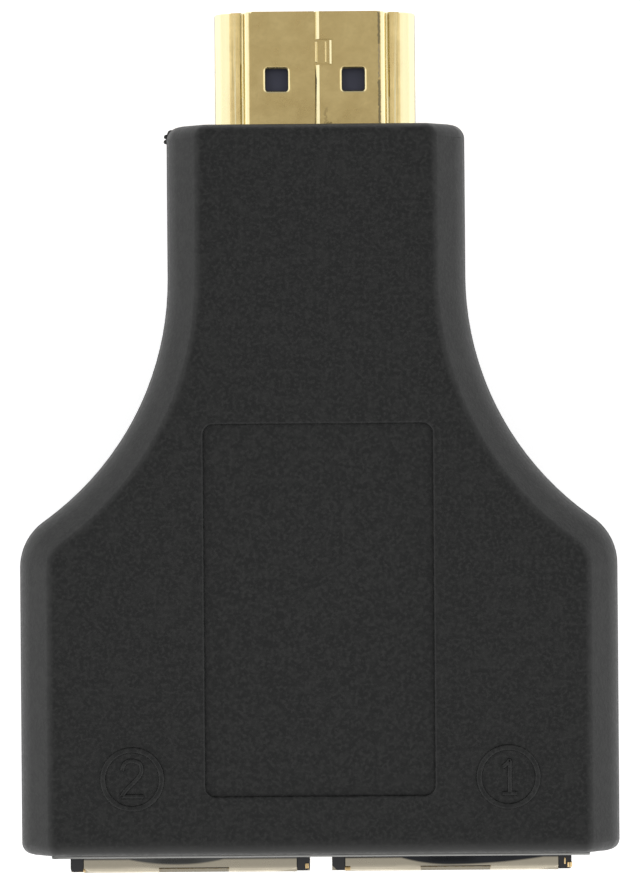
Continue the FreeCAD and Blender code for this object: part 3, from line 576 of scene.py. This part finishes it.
def ceramic(name, body, ends, half_length):
    """Chip body with bright solder at its ends."""
    material, tree, shader, place = new_material(name)
    cloud = noise(tree, place, 0.3 * MM)
    tone = blend_colours(tree, spread(tree, cloud, 0, 1), body, tuple(part * 1.25 for part in body))
    tone = blend_colours(tree, spread(tree, noise(tree, place, half_length), 0, 0.3), tone, ends)
    set_up(shader, tree, Base_Color=tone, Roughness=spread(tree, cloud, 0.35, 0.5),
           Normal=bump(tree, cloud, 0.005 * MM))
    return material


def pale_floor():
    """Pale table, lit from inside so that its far parts stay white."""
    material, tree, shader, place = new_material("pale_floor")
    paper = noise(tree, place, 4 * MM, detail=4)
    tone = blend_colours(tree, spread(tree, paper, 0, 1), (0.90, 0.90, 0.90), (0.93, 0.93, 0.93))
    set_up(shader, tree, Base_Color=tone, Roughness=spread(tree, paper, 0.75, 0.85))
    shader.inputs["Emission Color"].default_value = (1, 1, 1, 1)
    shader.inputs["Emission Strength"].default_value = settings().stage.floor_level
    return material


# Pieces


class ADAPTER_OT_stage(bpy.types.Operator):
    """Floor, camera, two broad side lights and an even sky"""

    bl_idname = "adapter.stage"
    bl_label = "Stage"

    FLOOR_SIZE = 4.0
    IMAGE_HEIGHT = 891
    CLIP = (0.01, 20)
    LIGHT_PLACE = 0.5
    LIGHT_LENGTH = 1.0
    LIGHT_HEIGHT = 0.72
    HORIZON_SHARE = 0.8

    def make_sky(self, context, stage):
        """Even sky, brighter towards the side lights and in front of the jacks."""
        world = bpy.data.worlds.new("sky")
        world.use_nodes = True
        tree = world.node_tree
        tree.nodes.clear()
        way = add_node(tree, "ShaderNodeTexCoord").outputs["Generated"]
        axes = add_node(tree, "ShaderNodeSeparateXYZ", {"Vector": way}).outputs

        def ramp(value, start, end, low, high):
            return add_node(tree, "ShaderNodeMapRange", {
                "Value": value, "From Min": start, "From Max": end, "To Min": low, "To Max": high,
            }, interpolation_type="SMOOTHSTEP").outputs["Result"]

        level = ramp(axes["Z"], 0.0, 1.0, stage.sky_level * self.HORIZON_SHARE, stage.sky_level)
        glow = ramp(compute(tree, "ABSOLUTE", axes["X"]), 0.25, 0.55, 0.0, stage.glow_level)
        front = ramp(axes["Y"], -0.15, -0.7, 0.0, stage.front_level)
        total = compute(tree, "ADD", compute(tree, "ADD", glow, front), level)
        sky = add_node(tree, "ShaderNodeBackground", {"Color": (1, 1, 1, 1), "Strength": total})
        add_node(tree, "ShaderNodeOutputWorld", {"Surface": sky.outputs["Background"]})
        context.scene.world = world

    def execute(self, context):
        stage = settings().stage
        bpy.ops.mesh.primitive_grid_add(x_subdivisions=2, y_subdivisions=2, size=self.FLOOR_SIZE,
                                        location=(0, 0, 0))
        floor = context.active_object
        floor.name = "floor"
        floor.data.materials.append(pale_floor())

        camera = bpy.data.objects.new("camera", bpy.data.cameras.new("camera"))
        context.scene.collection.objects.link(camera)
        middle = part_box("front_cover")[0].z
        camera.location = (stage.offset[0], stage.offset[1], middle + stage.distance)
        camera.rotation_euler = (0, 0, stage.roll)
        pixels = stage.scale / MM * stage.distance
        camera.data.lens = camera.data.sensor_width * pixels / self.IMAGE_HEIGHT
        camera.data.clip_start, camera.data.clip_end = self.CLIP
        context.scene.camera = camera

        for name, side in (("left_light", -1), ("right_light", 1)):
            data = bpy.data.lights.new(name, "AREA")
            data.shape = "RECTANGLE"
            data.size, data.size_y = self.LIGHT_LENGTH, self.LIGHT_HEIGHT
            data.energy = stage.side_level * math.pi * data.size * data.size_y
            light = bpy.data.objects.new(name, data)
            light.location = (side * self.LIGHT_PLACE, 0.0, self.LIGHT_HEIGHT / 2)
            light.rotation_euler = (math.pi / 2, 0, side * math.pi / 2)
            context.scene.collection.objects.link(light)

        self.make_sky(context, stage)
        context.scene.view_settings.view_transform = "Standard"
        return {"FINISHED"}


class ADAPTER_OT_covers(bpy.types.Operator):
    """Both half covers, with rounded recess, rings and rim"""

    bl_idname = "adapter.covers"
    bl_label = "Covers"

    FOLD_ANGLES = (0.3, 0.5)

    def execute(self, context):
        size = settings().housing
        plastic = textured_plastic()
        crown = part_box("front_cover")[1].z
        face = crown - RING_HEIGHT
        bevel_drop = BEVEL - FOLD_CUT * math.sqrt(0.5)
        folds = {"front_cover": face - bevel_drop, "rear_cover": bevel_drop}

        def level(edge):
            return any(abs(side.normal.z) > 0.99 for side in edge.link_faces)

        def upright(edge):
            return any(abs(side.normal.z) < 0.01 for side in edge.link_faces)

        def edge_of(place):
            return lambda edge: on_plane(edge, 2, place) and level(edge) and upright(edge)

        def inside_recess(edge):
            low, high = RECESS_ENDS
            return all(abs(v.co.x) < RECESS_SIDE and low < v.co.y < high for v in edge.verts)

        for node in ("front_cover", "rear_cover"):
            cover = copy_of(node, f"{node}_shell")
            edit(cover)
            rim, rim_edge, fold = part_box(node)[0].y, RIM_EDGE[node], folds[node]
            least, most = self.FOLD_ANGLES
            flatten(cover)
            round_edges(cover, lambda e: on_plane(e, 1, rim) and on_plane(e, 2, rim_edge),
                        size.rim_round)
            round_edges(cover, lambda e: on_plane(e, 2, fold)
                        and least < e.calc_face_angle(0) < most, size.fold_round, 2)
            if node == "front_cover":
                rim_of_recess = edge_of(face)
                round_edges(cover, lambda e: inside_recess(e) and rim_of_recess(e),
                            size.recess_round)
                round_edges(cover, edge_of(crown), size.ring_round)
            leave()
            smooth(cover)
            finish_piece(cover, "adapter", plastic)
        return {"FINISHED"}


class ADAPTER_OT_numerals(bpy.types.Operator):
    """Raised port numerals inside the two rings"""

    bl_idname = "adapter.numerals"
    bl_label = "Numerals"

    STROKES = {
        "one": (((-0.40, 0.66), (-0.12, 0.84), (0.08, 1.12), (0.08, 1.12), (0.08, 0.4),
                 (0.08, -1.1)),
                ((-0.42, -1.12), (0.58, -1.12))),
        "two": (((-0.66, 0.62), (-0.62, 0.98), (-0.28, 1.24), (0.10, 1.26), (0.56, 1.08),
                 (0.68, 0.60), (0.46, 0.14), (0.0, -0.30), (-0.46, -0.74), (-0.72, -1.14)),
                ((-0.72, -1.14), (0.76, -1.14))),
    }

    def stroke(self, context, points, centre, level):
        """One stroke as a rounded rod along its points, pressed flat to its height."""
        size = settings().housing
        bpy.ops.curve.primitive_nurbs_path_add(location=(0, 0, 0))
        path = context.active_object
        path.data.splines.clear()
        line = path.data.splines.new("NURBS")
        line.points.add(len(points) - 1)
        for point, (x, y) in zip(line.points, points):
            point.co = (centre[0] + x * MM, centre[1] + y * MM, 0, 1)
        line.order_u = min(3, len(points))
        line.use_endpoint_u = True
        line.resolution_u = 6
        path.data.bevel_depth = size.stroke / 2
        path.data.bevel_resolution = 3
        path.data.use_fill_caps = True
        only(path)
        bpy.ops.object.convert(target="MESH")
        path = context.active_object
        path.scale.z = size.stroke_height / (size.stroke / 2)
        path.location.z = level
        return settle(path)

    def execute(self, context):
        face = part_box("front_cover")[1].z - RING_HEIGHT
        plastic = bpy.data.materials["textured_plastic"]
        for name, strokes in self.STROKES.items():
            made = [self.stroke(context, points, RING_PLACES[name], face) for points in strokes]
            bpy.ops.object.select_all(action="DESELECT")
            for piece in made:
                piece.select_set(True)
            context.view_layer.objects.active = made[0]
            bpy.ops.object.join()
            numeral = context.active_object
            numeral.name = f"numeral_{name}"
            edit(numeral)
            bpy.ops.mesh.select_all(action="SELECT")
            bpy.ops.mesh.remove_doubles(threshold=0.001 * MM)
            bpy.ops.mesh.normals_make_consistent(inside=False)
            leave()
            smooth(numeral, 50)
            finish_piece(numeral, "adapter", plastic)
        return {"FINISHED"}


class ADAPTER_OT_flash(bpy.types.Operator):
    """Small moulding flash on the parting line at one neck corner"""

    bl_idname = "adapter.flash"
    bl_label = "Moulding flash"

    # Place and half sizes of each lobe, in millimetres
    LOBES = ((-10.06, 20.85, 0.28, 0.46), (-10.31, 20.58, 0.20, 0.17),
             (-10.29, 20.93, 0.20, 0.17), (-9.98, 21.24, 0.24, 0.17))
    HALF_HEIGHT = 0.12

    def execute(self, context):
        plastic = bpy.data.materials["textured_plastic"]
        for number, (x, y, across, along) in enumerate(self.LOBES):
            bpy.ops.object.select_all(action="DESELECT")
            bpy.ops.mesh.primitive_ico_sphere_add(subdivisions=3, radius=MM,
                                                  location=(x * MM, y * MM, PARTING))
            lobe = context.active_object
            lobe.name = f"flash_{number + 1}"
            lobe.scale = (across, along, self.HALF_HEIGHT)
            settle(lobe)
            edit(lobe)
            bpy.ops.mesh.select_all(action="SELECT")
            bpy.ops.transform.vertex_random(offset=0.02 * MM, seed=number + 3)
            leave()
            smooth(lobe, 60)
            finish_piece(lobe, "adapter", plastic)
        return {"FINISHED"}


class ADAPTER_OT_plug(bpy.types.Operator):
    """Folded plug shell with soft sheet edges, rounded windows and a lock tab"""

    bl_idname = "adapter.plug"
    bl_label = "Plug shell"

    # Marks of tarnish and glue, as plated() takes them; the last two, dark lines along the tops of
    # the plug's upright sides, are painted shade
    MARKS = (((4.42, 28.3), (0.06, 1.2), 0.06, (0.42, 0.34, 0.18)),
             ((4.40, 25.9), (0.02, 1.1), 0.08, (0.60, 0.50, 0.30)),
             ((4.42, 22.9), (0.06, 1.7), 0.06, (0.42, 0.34, 0.18)),
             ((0.86, 21.45), (0.28, 0.22), 0.12, (0.46, 0.35, 0.15)),
             ((0.70, 22.1), (0.06, 0.5), 0.12, (0.72, 0.55, 0.24)),
             # Painted shade: dark lines along the upper edges of the plug's upright sides
             ((-6.96, 25.3), (0.055, 4.2), 0.01, (0.26, 0.25, 0.17)),
             ((6.96, 25.3), (0.055, 4.2), 0.01, (0.26, 0.25, 0.17)))
    # Places across the strip beside each fold, with the share of the rise there
    STRIP = ((5.025, 0.2), (5.065, 0.45), (5.107, 0.75), (5.15, 1.0), (5.45, 0.4))
    # Burrs and creases: reach across, reach in depth under the face, and edge rounding
    SEAM_BURR = ((-0.05, 0.05), (-0.28, -0.16), 0.01)
    TAB_BURR = ((0.04, 1.26), (-0.28, -0.16), 0.01)
    CREASES = {"tab_crease_left": ((0.02, 0.18), (-0.09, 0.06), 0.07),
               "tab_crease_right": ((0.70, 0.80), (-0.09, 0.06), 0.045)}
    CREASE_SETBACK = 0.16
    TIP_GAP = 0.02
    GRID_STEPS = (-1.15, 0, 1.15)

    def lock_pieces(self, gold, top, tip, tab_ends):
        """The burrs that fill the seam and the creases pressed into the lock tab."""
        start, end = (place / MM for place in tab_ends)
        front = (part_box("front_cover")[1].y - MM) / MM
        boxes = []

        def add_box(name, size, along):
            across, depth, soft = size
            boxes.append((name, (across, along, depth), soft))

        add_box("seam_burr", self.SEAM_BURR, (front, tip / MM - self.TIP_GAP))
        add_box("tab_burr", self.TAB_BURR, (start, end))
        for name, size in self.CREASES.items():
            add_box(name, size, (start + self.CREASE_SETBACK, end - self.CREASE_SETBACK))
        for name, box, soft in boxes:
            bpy.ops.object.select_all(action="DESELECT")
            middle = [sum(pair) / 2 * MM for pair in box]
            bpy.ops.mesh.primitive_cube_add(
                size=1, location=(middle[0], middle[1], top + middle[2]))
            piece = bpy.context.active_object
            piece.name = name
            piece.scale = [(pair[1] - pair[0]) * MM for pair in box]
            settle(piece)
            edit(piece)
            bpy.ops.mesh.select_all(action="SELECT")
            bpy.ops.mesh.bevel(offset=soft * MM, segments=3)
            leave()
            smooth(piece, 60)
            finish_piece(piece, "adapter", gold)

    def execute(self, context):
        size = settings().plug
        gold = plated("plug_plating", tuple(size.plating), tuple(size.stain), 0.2,
                      tuple(size.flank), tuple(size.side), self.MARKS)
        shell = copy_of("plug_shell", "plug_shell_folded")
        low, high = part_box("plug_shell")
        top, bottom, tip = high.z, low.z, high.y
        window_ends = [tip - setback for setback in WINDOW_SETBACK]
        tab_ends = [tip - setback for setback in TAB_SETBACK]

        def in_window(edge):
            return all(abs(abs(v.co.x) - WINDOW_PLACE) < WINDOW_REACH
                       and window_ends[0] < v.co.y < window_ends[1] for v in edge.verts)

        def rise_and_run(edge):
            a, b = (v.co for v in edge.verts)
            return abs(a.z - b.z), (a - b).xy.length

        def window_corner(edge):
            rise, run = rise_and_run(edge)
            return in_window(edge) and rise > 0.1 * MM and run < NEAR and sharp(edge)

        def slanted(edge):
            return in_window(edge) and min(rise_and_run(edge)) >= NEAR and flat_across(edge)

        def window_edge(edge):
            level = on_plane(edge, 2, top) or on_plane(edge, 2, bottom)
            return level and in_window(edge) and sharp(edge)

        def mouth_edge(edge):
            if not on_plane(edge, 1, tip) or not sharp(edge):
                return False
            middle = (edge.verts[0].co + edge.verts[1].co) / 2
            if abs(middle.x) < RIDGE_SIDE:
                return False
            middle.y, middle.z = 0, middle.z - PLUG_MIDDLE
            sides = [face.normal for face in edge.link_faces if abs(face.normal.y) < 0.5]
            return any(side.dot(middle) > 0.5 * middle.length for side in sides)

        def roof(face):
            return face.normal.z > 0.999 and abs(face.verts[0].co.z - top) < NEAR

        def lower(x, drop):
            pick(shell, "verts", lambda v: abs(v.co.x - x) < NEAR and abs(v.co.z - top) < NEAR)
            bpy.ops.transform.translate(value=(0, 0, -drop))

        edit(shell)
        flatten(shell)
        for side in (-1, 1):
            divide(shell, 0, [side * (WINDOW_PLACE + step * MM) for step in self.GRID_STEPS])
        divide(shell, 1, [sum(window_ends) / 2 + step * MM for step in self.GRID_STEPS])
        divide(shell, 0, [SLIT + size.seam_width, TAB_CREASE], roof)
        for level in (top, bottom):
            drop_diagonals(shell, level)
        pick(shell, "edges", slanted)
        bpy.ops.mesh.dissolve_edges(use_verts=False)
        round_edges(shell, window_corner, size.window_corner, 4)
        round_edges(shell, window_edge, size.window_round, 4)
        round_edges(shell, mouth_edge, size.tip_round, 3)
        lower(SLIT, size.seam_drop)
        lower(TAB_EDGE, size.tab_drop)
        for x, share in self.STRIP:
            pick(shell, "verts", lambda v: abs(abs(v.co.x) - x * MM) < NEAR
                 and STRIP_LEVELS[0] < v.co.z < STRIP_LEVELS[1])
            bpy.ops.transform.translate(value=(0, 0, size.strip_rise * share))
        leave()
        smooth(shell, 25)
        finish_piece(shell, "adapter", gold)
        self.lock_pieces(gold, top, tip, tab_ends)
        return {"FINISHED"}


class ADAPTER_OT_jacks(bpy.types.Operator):
    """Jack shields with a rounded front fold, a shallow dent and curled corners"""

    bl_idname = "adapter.jacks"
    bl_label = "Jacks"

    # Middle, reach to each side and depth of the patch of painted shade in front of the rim, and
    # its colour
    DENT = {"port_1": (8.73, 3.9, 7.5, 0.66, (0.045, 0.047, 0.052)),
            "port_2": (-9.71, 4.1, 3.9, 0.53, (0.13, 0.13, 0.125))}
    DENT_REACH = 1.6 * MM
    DENT_ROWS = (0.5, 0.1, -0.1, -0.25, -0.4, -0.55)
    DENT_COLUMN = 0.5 * MM
    OPENING_REACH = 7.2 * MM
    OPENING_FLOOR = 2.5 * MM
    # Place, radius, length and turn of each curl
    CURLS = (("port_1_curl_left", (1.80, -29.10, 15.30), 0.17, 0.36, 0),
             ("port_1_curl_right", (16.82, -28.97, 15.32), 0.19, 0.34, 90),
             # Painted highlight: a thin brass rod set where the shield's cut edge shows a bright
             # line
             ("port_1_spur", (16.50, -28.72, 15.40), 0.06, 0.42, 90),
             ("port_2_curl_right", (-0.95, -28.93, 15.33), 0.15, 0.34, 90),
             ("port_2_curl_left", (-16.2, -29.12, 15.25), 0.15, 0.5, 0))

    def plating_with_shade(self, name, port, middle, rim):
        """The shield's plating, with painted shade on the sheet just in front of the rim and brown
        along its slot.
        """
        colour = tuple(settings().jack.plating)
        slot = ((middle / MM + 0.25, rim / MM - 0.79), (2.35, 0.03), 0.03, (0.30, 0.20, 0.07))
        tin = plated(name, colour, tuple(part * 0.85 for part in colour), 0.28, marks=[slot])
        tree = tin.node_tree
        shader = next(node for node in tree.nodes if node.type == "BSDF_PRINCIPLED")
        tone = shader.inputs["Base Color"].links[0].from_socket
        place = next(node for node in tree.nodes if node.type == "TEX_COORD").outputs["Object"]
        axes = add_node(tree, "ShaderNodeSeparateXYZ", {"Vector": place}).outputs
        centre, left, right, depth, painted_shade = self.DENT[port]
        away = compute(tree, "SUBTRACT", axes["X"], centre * MM)
        share = compute(tree, "MAXIMUM", compute(tree, "DIVIDE", away, right * MM),
                        compute(tree, "DIVIDE", away, -left * MM))
        dip = compute(tree, "SUBTRACT", 1.0, times(tree, share, share))
        dip = compute(tree, "MAXIMUM", times(tree, dip, depth * MM), 0.19 * MM)
        under = compute(tree, "SUBTRACT", axes["Y"], compute(tree, "SUBTRACT", rim, dip))
        # Painted shade: a dark band along the rim that widens into the patch at its middle
        tone = blend_colours(tree, spread(tree, under, 0, 1, -0.04 * MM, 0.08 * MM), tone, painted_shade)
        tree.links.new(tone, shader.inputs["Base Color"])
        return tin

    def ears(self, port, low, high):
        """The jack's housing with its corner ears rounded, one of them trimmed at a slant."""
        size = settings().jack
        housing = copy_of(f"{port}_housing", f"{port}_housing_eared")
        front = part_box(f"{port}_housing")[0].y
        edit(housing)

        def corner(x):
            return lambda e: on_plane(e, 0, x) and on_plane(e, 1, front) and sharp(e)

        if port == "port_1":
            round_edges(housing, corner(low.x), size.ear_cut, 1)
        else:
            round_edges(housing, corner(low.x), size.ear_round)
        round_edges(housing, corner(high.x), size.ear_round)
        leave()
        smooth(housing, 40)
        return housing

    def curls(self, brass):
        """Small brass curls of the sheet at the jacks' corners, and a thin brass rod that stands in
        for a bright line on one shield's cut edge, a painted highlight.
        """
        for name, place, radius, length, turn in self.CURLS:
            bpy.ops.object.select_all(action="DESELECT")
            bpy.ops.mesh.primitive_cylinder_add(
                vertices=20, radius=radius * MM, depth=length * MM,
                location=[part * MM for part in place],
                rotation=(0, math.pi / 2, math.radians(turn)))
            curl = bpy.context.active_object
            curl.name = name
            settle(curl)
            edit(curl)
            pick(curl, "faces", lambda f: len(f.verts) > 4)
            bpy.ops.mesh.inset(thickness=radius * 0.3 * MM)
            bpy.ops.transform.resize(value=(1, 1, 1.15))
            bpy.ops.mesh.select_all(action="SELECT")
            bpy.ops.mesh.bevel(offset=radius * 0.08 * MM, segments=2)
            leave()
            smooth(curl, 60)
            finish_piece(curl, "adapter", brass)

    def execute(self, context):
        size = settings().jack
        insulator = plain_plastic("jack_insulator", (0.011, 0.011, 0.012), 0.36)
        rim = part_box("front_cover")[0].y
        for port in PORTS:
            shield = copy_of(f"{port}_shield", f"{port}_shield_folded")
            low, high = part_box(f"{port}_shield")
            middle = (low.x + high.x) / 2
            tin = self.plating_with_shade(f"{port}_plating", port, middle, rim)
            centre = self.DENT[port][0] * MM

            def opening(edge):
                return on_plane(edge, 1, low.y) and sharp(edge) and all(
                    abs(v.co.x - middle) < self.OPENING_REACH
                    and self.OPENING_FLOOR < v.co.z < high.z - MM for v in edge.verts)

            def roof(face):
                return face.normal.z > 0.999 and abs(face.verts[0].co.z - high.z) < NEAR

            def under_rim(vertex):
                x, y, z = vertex.co
                return (z > high.z - NEAR and rim - 0.12 * MM < y < rim + 0.6 * MM
                        and abs(x - centre) < self.DENT_REACH)

            edit(shield)
            flatten(shield)
            round_edges(shield, lambda e: on_plane(e, 1, low.y) and on_plane(e, 2, high.z),
                        size.front_round)
            round_edges(shield, opening, size.opening_round, 2)
            divide(shield, 1, [rim + step * MM for step in self.DENT_ROWS], roof)
            divide(shield, 0, [centre + step * self.DENT_COLUMN for step in range(-8, 9)], roof)
            pick(shield, "verts", under_rim)
            bpy.ops.transform.translate(
                value=(0, 0, -size.dent), use_proportional_edit=True,
                proportional_edit_falloff="SMOOTH", proportional_size=self.DENT_COLUMN)
            leave()
            smooth(shield, 40)
            finish_piece(shield, "adapter", tin)
            frame["nodes"][f"{port}_back_plate"].data.materials[0] = tin
            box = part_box(f"{port}_housing")
            finish_piece(self.ears(port, *box), "adapter", insulator)
        self.curls(plated("brass", tuple(size.brass), (0.45, 0.30, 0.12), 0.25))
        return {"FINISHED"}


class ADAPTER_OT_inside(bpy.types.Operator):
    """Finishes of the pieces inside: insulators, board, contacts and chips"""

    bl_idname = "adapter.inside"
    bl_label = "Inside pieces"

    def execute(self, context):
        insulator = plain_plastic("insulator", (0.050, 0.053, 0.085), 0.36)
        contact = plated("contact_plating", (1.0, 0.84, 0.50), (0.96, 0.72, 0.36), 0.34,
                         metallic=0.55)
        finishes = {
            "plug_nose": insulator,
            "plug_rear_block": insulator,
            "plug_upper_contacts": contact,
            "plug_lower_contacts": contact,
            "circuit_board": solder_mask(),
            "chip_capacitors": ceramic("capacitor", (0.24, 0.16, 0.09), (0.6, 0.6, 0.58), MM),
            "chip_resistors": ceramic("resistor", (0.02, 0.02, 0.02), (0.6, 0.6, 0.58), MM),
        }
        for port in PORTS:
            finishes[f"{port}_contact_insert"] = bpy.data.materials["jack_insulator"]
            finishes[f"{port}_contact_tails"] = contact
            finishes[f"{port}_contact_springs"] = contact
        for node, material in finishes.items():
            frame["nodes"][node].data.materials[0] = material
        return {"FINISHED"}


OPERATORS = (ADAPTER_OT_stage, ADAPTER_OT_covers, ADAPTER_OT_numerals, ADAPTER_OT_flash,
             ADAPTER_OT_plug, ADAPTER_OT_jacks, ADAPTER_OT_inside)


class ADAPTER_PT_panel(bpy.types.Panel):
    """Adapter panel"""

    bl_idname = "ADAPTER_PT_panel"
    bl_label = "Adapter"
    bl_space_type = "VIEW_3D"
    bl_region_type = "UI"
    bl_category = "Adapter"

    def draw(self, context):
        for operator in OPERATORS:
            self.layout.operator(operator.bl_idname)
        for group in (settings().housing, settings().plug, settings().jack, settings().stage):
            box = self.layout.box()
            for name in group.bl_rna.properties.keys():
                if name not in ("rna_type", "name"):
                    box.prop(group, name)


CLASSES = (HousingSettings, PlugSettings, JackSettings, StageSettings, AdapterSettings,
           *OPERATORS, ADAPTER_PT_panel)


def register():
    for kind in CLASSES:
        bpy.utils.register_class(kind)
    bpy.types.Scene.adapter = bpy.props.PointerProperty(type=AdapterSettings)


def unregister():
    del bpy.types.Scene.adapter
    for kind in reversed(CLASSES):
        bpy.utils.unregister_class(kind)


def clear_start_objects():
    for piece in list(bpy.data.objects):
        if piece.name in ("Cube", "Camera", "Light"):
            bpy.data.objects.remove(piece)


def main():
    clear_start_objects()
    register()
    for operator in OPERATORS:
        group, name = operator.bl_idname.split(".")
        getattr(getattr(bpy.ops, group), name)()


if __name__ == "__main__":
    main()
